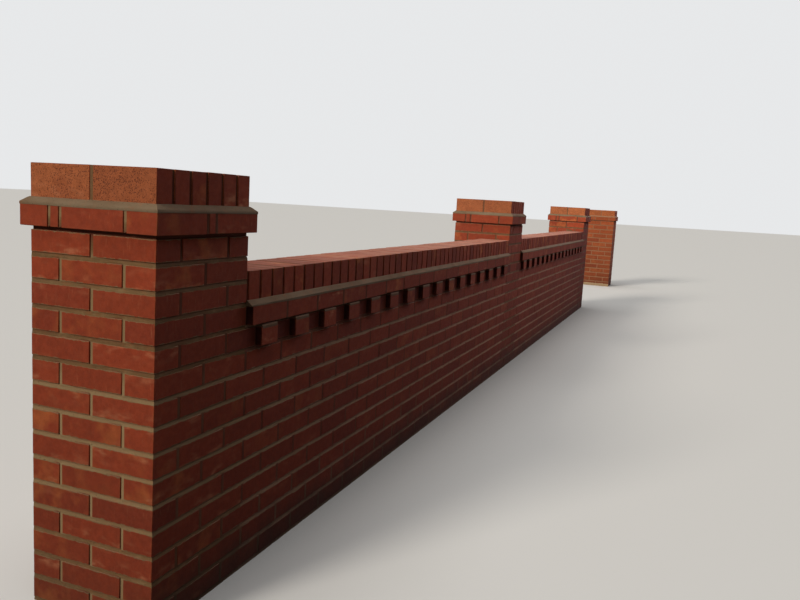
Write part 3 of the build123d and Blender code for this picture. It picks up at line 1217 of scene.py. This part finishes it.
def layStringCourse(number):
    node = f"panel_{number}_string_course"
    low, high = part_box(node)
    luck = random.Random(600 + number)
    start, count, levels = low.x + brick["joint"], panel["stretchers"], (low.z, high.z)
    work = startBricks()
    layRun(work, start, count, pitch, brick["length"], bothFaces(low, high), levels, luck)
    chooseMaterials(work, lambda face: 1 if face.normal.x < -faced else 0)
    keepPiece(work, f"{node}_bricks", [mouldingBrick, shadedBrick], "brickwork", node)

    firstPerp = low.x + brick["joint"] / 2

    def nearestJoint(way, side, point):
        shown = way == 1 or (way == 2 and side == -1)
        return (1.0, fromNearest(point.x, firstPerp, pitch)) if shown else None

    perps = jointRun(firstPerp, pitch, low.x, high.x)
    cuts = ([*around(perps), *(perp + pitch / 2 for perp in perps)], [], [(low.z + high.z) / 2])
    work = mortarBlock(low, high, cuts, nearestJoint, wallPointing, panel["stringPerps"])
    # the first and last bricks show their ends where they stand proud of the piers
    for vert in work.verts:
        if min(vert.co.x - low.x, high.x - vert.co.x) < panel["stringEnd"]:
            vert.co.y = max(vert.co.y, low.y + panel["proud"] + struck["deep"])
    keepPiece(work, f"{node}_joints", [struckMortar], "mortar", node)


def layCoping(number):
    node, jointNode = f"panel_{number}_coping_bricks", f"panel_{number}_coping_joints"
    low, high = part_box(node)
    jointLow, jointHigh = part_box(jointNode)
    count = panel["stretchers"] * panel["onEdge"]
    spacing = (high.x - low.x + brick["joint"]) / count
    luck = random.Random(700 + number)
    work = startBricks()
    thick = spacing - brick["joint"]
    layRun(work, low.x, count, spacing, thick, [(low.y, high.y)], (low.z, high.z), luck)
    keepPiece(work, f"panel_{number}_coping_on_edge", [copingBrick], "brickwork", node)

    firstPerp = low.x - brick["joint"] / 2

    def nearestJoint(way, side, point):
        hidden = way == 0 or (way == 2 and side == -1)
        return None if hidden else (1.0, fromNearest(point.x, firstPerp, spacing))

    across, up = panel["copingCuts"]
    cuts = (
        around(jointRun(firstPerp, spacing, jointLow.x, jointHigh.x), edgeCuts),
        [low.y + share * (high.y - low.y) for share in across],
        [low.z + share * (high.z - low.z) for share in up],
    )
    corner, top = Vector((jointLow.x, low.y, low.z)), Vector((jointHigh.x, high.y, high.z))
    work = mortarBlock(corner, top, cuts, nearestJoint, edgePointing, panel["copingPerps"])
    keepPiece(work, f"panel_{number}_coping_pointing", [struckMortar], "mortar", jointNode)


def layPanelWeathering(number):
    node = f"panel_{number}_weathering"
    low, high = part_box(node)
    copingLow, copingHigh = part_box(f"panel_{number}_coping_bricks")
    outer, front, back = low.y + hair, copingLow.y, copingHigh.y
    seat = copingLow.z + joints["sunk"]
    crestTop, crestFoot = weathering["crest"]
    profile = [
        (outer, low.z - weathering["under"]),
        *((outer + into, low.z + rise) for into, rise in weathering["slope"]),
        (front - weathering["lip"], high.z),
        (front + crestTop, high.z),
        (front + crestFoot, seat),
        (back - struck["deep"], seat),
        (back - struck["flush"], low.z),
        (back - struck["flush"], low.z - joints["sunk"]),
    ]
    work = bmesh.new()
    section = work.faces.new([work.verts.new((low.x, y, z)) for y, z in profile])
    made = bmesh.ops.extrude_face_region(work, geom=[section])["geom"]
    bmesh.ops.translate(work, vec=(high.x - low.x, 0, 0), verts=only(made, bmesh.types.BMVert))
    bmesh.ops.recalc_face_normals(work, faces=work.faces)
    steps = round((high.x - low.x) / weathering["step"])
    for step in range(1, steps):
        cutAcross(work, 0, low.x + (high.x - low.x) * step / steps)
    endLength, endLift = weathering["ended"]
    fine, far = weathering["uneven"]
    for vert in work.verts:
        point = vert.co.copy()
        wave = trowelWave(point.x, 0.0, weathering["seeds"][1] + number)
        if point.y > front + joints["sunk"]:
            if point.y > back - weathering["hiddenBack"]:
                vert.co.y -= abs(wave) * struck["wander"]
        elif point.z > high.z - hair:
            vert.co.z += topWave(wave)
        elif point.z < low.z - hair:
            ended = max(0.0, 1 - (point.x - low.x) / endLength)
            uneven = noise.noise(Vector((point.x * fine, weathering["seeds"][2], number)))
            vert.co.z += footWave(wave) + uneven * far + ended * endLift
        elif point.z > low.z + weathering["slopeFrom"]:
            vert.co.y += (weathering["sunkIn"] + wave) * weathering["swell"]
    work.normal_update()
    smoothMortar(work)
    keepPiece(work, f"{node}_slope", [trowelledMortar], "mortar", node)


for number in range(1, panel["count"] + 1):
    layPanelWall(number)
    layDentilCourse(number)
    layStringCourse(number)
    layCoping(number)
    layPanelWeathering(number)
for shape in brickShapes.values():
    bpy.data.meshes.remove(shape)
print("panels laid")

# Floor, light and camera
studio = {
    "floorSize": 90.0,
    "floor": (0.80, 0.79, 0.77, 1.0),
    "floorBounce": (0.10, 0.10, 0.10, 1.0),  # what the floor throws back at the wall
    "floorRoughness": 0.95,
    "backdrop": (0.80, 0.81, 0.82, 1.0),
    "fill": (0.70, 0.84, 1.0, 1.0),
    "fillStrength": 0.05,
    # suns: strength, softness in degrees, where they come from and colour
    # the key stands beyond the end pier, over the garden
    "suns": {
        "softKey": (1.85, 16.0, (-0.85, 0.38, 0.42), (1.0, 0.93, 0.82)),
        "topLight": (1.5, 60.0, (-0.10, 0.12, 1.0), (1.0, 0.98, 0.95)),
    },
    # lamps: place, aim, size, power, colour and spread in degrees
    # they light the street face at a grazing angle, the far piers and their ends
    "lamps": {
        "streetPanel": ((13.0, -6.0, 9.0), (0.0, -0.2, 0.6), 7.0, 740.0, (1.0, 0.80, 0.88), 180.0),
        "sidePanel": ((1.5, -5.5, 9.0), (-1.1, -0.2, 0.4), 3.0, 13.0, (1.0, 0.85, 0.80), 45.0),
        "gardenPanel": ((-3.2, 5.0, 1.6), (4.0, 0.0, 0.8), 2.0, 280.0, (0.85, 1.0, 1.0), 180.0),
        "farPanel": ((22.0, 2.0, 4.0), (0.0, 0.0, 1.0), 8.0, 420.0, (1.0, 0.95, 0.95), 180.0),
        "lowPanel": ((22.0, -3.5, 3.0), (0.0, -0.2, 0.6), 6.0, 90.0, (1.0, 0.95, 0.95), 180.0),
    },
}


def seenDirectly(tree, shown, otherwise):
    return blendColours(tree, put(tree, "ShaderNodeLightPath").outputs["Is Camera Ray"], otherwise, shown)


def makeFloor():
    work = bmesh.new()
    bmesh.ops.create_grid(work, x_segments=1, y_segments=1, size=studio["floorSize"])
    floor = addObject("studioFloor", meshFrom(work, "studioFloor"))
    material, tree, shader = newMaterial("paleFloor")
    tree.links.new(seenDirectly(tree, studio["floor"], studio["floorBounce"]), shader.inputs["Base Color"])
    shader.inputs["Roughness"].default_value = studio["floorRoughness"]
    floor.data.materials.append(material)
    return floor


def makeLight(name, kind, power, colour, comesFrom):
    light = bpy.data.lights.new(name, kind)
    light.energy = power
    light.color = colour
    made = addObject(name, light)
    made.rotation_euler = Vector(comesFrom).to_track_quat("Z", "Y").to_euler()
    return made


def makeStudio(floor):
    world = bpy.data.worlds.new("paleStudio")
    world.use_nodes = True
    tree = world.node_tree
    fill = [share * studio["fillStrength"] for share in studio["fill"]]
    tree.links.new(seenDirectly(tree, studio["backdrop"], fill), tree.nodes["Background"].inputs["Color"])
    bpy.context.scene.world = world
    for name, (strength, softness, comesFrom, colour) in studio["suns"].items():
        makeLight(name, "SUN", strength, colour, comesFrom).data.angle = math.radians(softness)
    # the lamps light the wall and leave out the floor, which would show them as bright patches
    spared = bpy.data.collections.new("sparedByPanels")
    spared.objects.link(floor)
    spared.collection_objects[0].light_linking.link_state = "EXCLUDE"
    for name, (place, aim, size, power, colour, spread) in studio["lamps"].items():
        lamp = makeLight(name, "AREA", power, colour, Vector(place) - Vector(aim))
        lamp.data.size = size
        lamp.data.spread = math.radians(spread)
        lamp.location = place
        lamp.visible_camera = False
        lamp.light_linking.receiver_collection = spared


view = {
    "place": (-7.71694, -1.53697, 1.25848),
    "turn": (82.527, -3.199, -68.437),  # degrees
    "lens": 33.648,
    "sensor": 36.0,
    "clip": (0.02, 400.0),
}


def makeCamera():
    data = bpy.data.cameras.new("photoView")
    data.sensor_fit = "HORIZONTAL"
    data.sensor_width = view["sensor"]
    data.lens = view["lens"]
    data.clip_start, data.clip_end = view["clip"]
    camera = addObject("photoView", data)
    camera.location = view["place"]
    camera.rotation_euler = [math.radians(angle) for angle in view["turn"]]
    bpy.context.scene.camera = camera


makeStudio(makeFloor())
makeCamera()
bpy.context.scene.view_settings.view_transform = "Standard"
print("studio ready")
